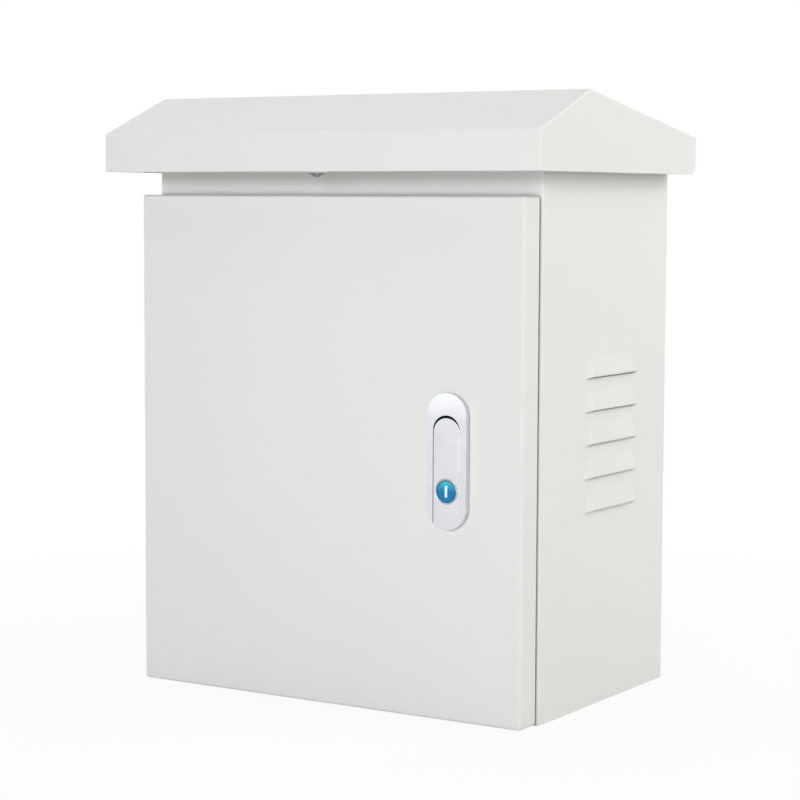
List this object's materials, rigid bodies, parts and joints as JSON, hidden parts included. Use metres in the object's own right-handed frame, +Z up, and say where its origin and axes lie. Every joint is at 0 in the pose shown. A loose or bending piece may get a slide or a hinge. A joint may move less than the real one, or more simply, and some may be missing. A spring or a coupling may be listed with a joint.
{
  "type": "outdoor utility cabinet",
  "caption": "Folded sheet-steel outdoor utility cabinet with a pitched rain hood, side louvres, a hinged door with a flush lift-out handle and key latch, and a mounting plate inside.",
  "frame": {"origin": "on the plane of the body's underside, below the middle of the rain hood's width and depth", "axes": "+Z up, -Y the way the door faces, +X towards the lock side of the door as seen from the front"},
  "size_m": [0.45, 0.296, 0.5359],
  "materials": {
    "paint": "fine powder coat, semi-matt",
    "zinc_plate": "galvanised sheet",
    "zinc_fastener": "bright zinc plating",
    "satin_chrome": "satin chrome",
    "black_rubber": "matt foam and moulded rubber",
    "blue_plastic": "glossy"
  },
  "bodies": {
    "cabinet": {"body_wrap": "paint", "top_panel": "paint", "bottom_panel": "paint", "wall_spacers": "zinc_plate", "rain_hood": "paint", "hood_rib_left": "paint", "hood_rib_right": "paint", "hood_bolts": "zinc_fastener", "hood_washers": "zinc_fastener", "hood_nuts": "zinc_fastener", "hinge_body_leaf_lower": "zinc_plate", "hinge_body_leaf_upper": "zinc_plate", "hinge_pin_lower": "zinc_fastener", "hinge_pin_upper": "zinc_fastener", "mounting_plate": "zinc_plate", "plate_studs": "zinc_fastener", "plate_sleeves": "zinc_fastener", "plate_washers": "zinc_fastener", "plate_nuts": "zinc_fastener", "gland_gasket": "black_rubber", "gland_plate": "zinc_plate", "gland_studs": "zinc_fastener", "gland_nuts": "zinc_fastener", "cable_grommet_1": "black_rubber", "cable_grommet_2": "black_rubber", "cable_grommet_3": "black_rubber", "earth_stud": "zinc_fastener", "earth_washer": "zinc_fastener", "earth_nut": "zinc_fastener"},
    "door": {"door_panel": "paint", "door_gasket": "black_rubber", "hinge_door_leaf_lower": "zinc_plate", "hinge_door_leaf_upper": "zinc_plate", "lock_seal_pad": "black_rubber", "lock_base": "satin_chrome", "handle_pin": "zinc_fastener", "lock_barrel": "satin_chrome", "lock_bracket": "zinc_plate", "barrel_nut": "zinc_fastener", "door_earth_stud": "zinc_fastener", "door_earth_washer": "zinc_fastener", "door_earth_nut": "zinc_fastener"},
    "handle": {"lock_handle": "satin_chrome"},
    "key": {"key_cap": "blue_plastic", "keyway": "satin_chrome", "key_spindle": "zinc_fastener", "latch_cam": "zinc_plate", "cam_washer": "zinc_fastener", "cam_screw": "zinc_fastener"}
  },
  "joints": [
    {"name": "door_swing", "type": "hinge", "parent": "cabinet", "child": "door", "pos_m": [-0.1905, -0.114, 0.2], "axis": [0, 0, -1], "range_deg": [0, 110]},
    {"name": "handle_lift", "type": "hinge", "parent": "door", "child": "handle", "pos_m": [0.1287, -0.1297, 0.24985], "axis": [-1, 0, 0], "range_deg": [0, 40]},
    {"name": "key_turn", "type": "hinge", "parent": "door", "child": "key", "pos_m": [0.1287, -0.12, 0.19845], "axis": [0, -1, 0], "range_deg": [0, 90]}
  ]
}
